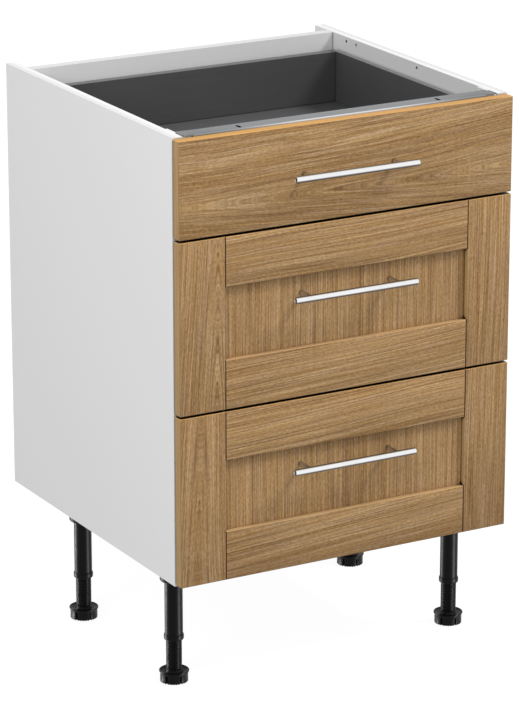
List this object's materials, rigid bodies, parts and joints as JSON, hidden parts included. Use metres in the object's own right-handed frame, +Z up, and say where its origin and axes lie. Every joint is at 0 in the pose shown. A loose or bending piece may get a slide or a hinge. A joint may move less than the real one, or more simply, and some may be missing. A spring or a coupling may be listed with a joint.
{
  "type": "kitchen base cabinet",
  "caption": "Kitchen base cabinet with a shallow drawer over deep framed drawers, oak fronts, bar handles, white carcass, adjustable legs and full-extension runners.",
  "frame": {"origin": "on the floor, at the middle of the overall width and depth", "axes": "+Z up, -Y out of the drawer fronts, +X to the right when facing them"},
  "size_m": [0.6, 0.6206, 0.915],
  "materials": {
    "carcass_board": "white melamine-faced chipboard, fine satin texture",
    "bracket_plastic": "white moulded plastic",
    "rail_steel": "grey coated sheet steel, satin",
    "leg_plastic": "black moulded plastic, satin",
    "oak_front": "oak, straight grain, matt lacquer",
    "drawer_steel": "anthracite powder coat, fine texture",
    "drawer_board": "anthracite melamine-faced chipboard",
    "handle_metal": "satin brushed metal",
    "runner_zinc": "bright zinc-plated steel"
  },
  "bodies": {
    "carcass": {"left_side_panel": "carcass_board", "right_side_panel": "carcass_board", "base_panel": "carcass_board", "back_panel": "carcass_board", "back_rail": "carcass_board", "front_rail": "rail_steel", "rail_bracket_left": "bracket_plastic", "rail_bracket_right": "bracket_plastic", "leg_sleeve_front_left": "leg_plastic", "leg_sleeve_front_right": "leg_plastic", "leg_sleeve_rear_left": "leg_plastic", "leg_sleeve_rear_right": "leg_plastic", "drawer_1_cabinet_runner_left": "runner_zinc", "drawer_1_cabinet_runner_right": "runner_zinc", "drawer_2_cabinet_runner_left": "runner_zinc", "drawer_2_cabinet_runner_right": "runner_zinc", "drawer_3_cabinet_runner_left": "runner_zinc", "drawer_3_cabinet_runner_right": "runner_zinc"},
    "drawer_1": {"drawer_1_side_left": "drawer_steel", "drawer_1_side_right": "drawer_steel", "drawer_1_back": "drawer_board", "drawer_1_base": "drawer_board", "drawer_1_front": "oak_front", "drawer_1_handle_bar": "handle_metal", "drawer_1_handle_post_left": "handle_metal", "drawer_1_handle_post_right": "handle_metal"},
    "drawer_1_runners": {"drawer_1_middle_runner_left": "runner_zinc", "drawer_1_middle_runner_right": "runner_zinc"},
    "drawer_2": {"drawer_2_side_left": "drawer_steel", "drawer_2_side_right": "drawer_steel", "drawer_2_back": "drawer_board", "drawer_2_base": "drawer_board", "drawer_2_front_stile_left": "oak_front", "drawer_2_front_stile_right": "oak_front", "drawer_2_front_rail_top": "oak_front", "drawer_2_front_rail_bottom": "oak_front", "drawer_2_front_panel": "oak_front", "drawer_2_handle_bar": "handle_metal", "drawer_2_handle_post_left": "handle_metal", "drawer_2_handle_post_right": "handle_metal"},
    "drawer_2_runners": {"drawer_2_middle_runner_left": "runner_zinc", "drawer_2_middle_runner_right": "runner_zinc"},
    "drawer_3": {"drawer_3_side_left": "drawer_steel", "drawer_3_side_right": "drawer_steel", "drawer_3_back": "drawer_board", "drawer_3_base": "drawer_board", "drawer_3_front_stile_left": "oak_front", "drawer_3_front_stile_right": "oak_front", "drawer_3_front_rail_top": "oak_front", "drawer_3_front_rail_bottom": "oak_front", "drawer_3_front_panel": "oak_front", "drawer_3_handle_bar": "handle_metal", "drawer_3_handle_post_left": "handle_metal", "drawer_3_handle_post_right": "handle_metal"},
    "drawer_3_runners": {"drawer_3_middle_runner_left": "runner_zinc", "drawer_3_middle_runner_right": "runner_zinc"},
    "foot_front_left": {"leg_foot_front_left": "leg_plastic"},
    "foot_front_right": {"leg_foot_front_right": "leg_plastic"},
    "foot_rear_left": {"leg_foot_rear_left": "leg_plastic"},
    "foot_rear_right": {"leg_foot_rear_right": "leg_plastic"}
  },
  "joints": [
    {"name": "drawer_1_slide", "type": "slide", "parent": "carcass", "child": "drawer_1", "axis": [0, -1, 0], "range_m": [0, 0.45]},
    {"name": "drawer_1_runner_slide", "type": "slide", "parent": "carcass", "child": "drawer_1_runners", "axis": [0, -1, 0], "range_m": [0, 0.225]},
    {"name": "drawer_2_slide", "type": "slide", "parent": "carcass", "child": "drawer_2", "axis": [0, -1, 0], "range_m": [0, 0.45]},
    {"name": "drawer_2_runner_slide", "type": "slide", "parent": "carcass", "child": "drawer_2_runners", "axis": [0, -1, 0], "range_m": [0, 0.225]},
    {"name": "drawer_3_slide", "type": "slide", "parent": "carcass", "child": "drawer_3", "axis": [0, -1, 0], "range_m": [0, 0.45]},
    {"name": "drawer_3_runner_slide", "type": "slide", "parent": "carcass", "child": "drawer_3_runners", "axis": [0, -1, 0], "range_m": [0, 0.225]},
    {"name": "foot_front_left_height", "type": "slide", "parent": "carcass", "child": "foot_front_left", "axis": [0, 0, -1], "range_m": [-0.045, 0.01]},
    {"name": "foot_front_right_height", "type": "slide", "parent": "carcass", "child": "foot_front_right", "axis": [0, 0, -1], "range_m": [-0.045, 0.01]},
    {"name": "foot_rear_left_height", "type": "slide", "parent": "carcass", "child": "foot_rear_left", "axis": [0, 0, -1], "range_m": [-0.045, 0.01]},
    {"name": "foot_rear_right_height", "type": "slide", "parent": "carcass", "child": "foot_rear_right", "axis": [0, 0, -1], "range_m": [-0.045, 0.01]}
  ],
  "couplings": [
    {"joint": "drawer_1_runner_slide", "follows": "drawer_1_slide", "ratio": 0.5},
    {"joint": "drawer_2_runner_slide", "follows": "drawer_2_slide", "ratio": 0.5},
    {"joint": "drawer_3_runner_slide", "follows": "drawer_3_slide", "ratio": 0.5}
  ]
}
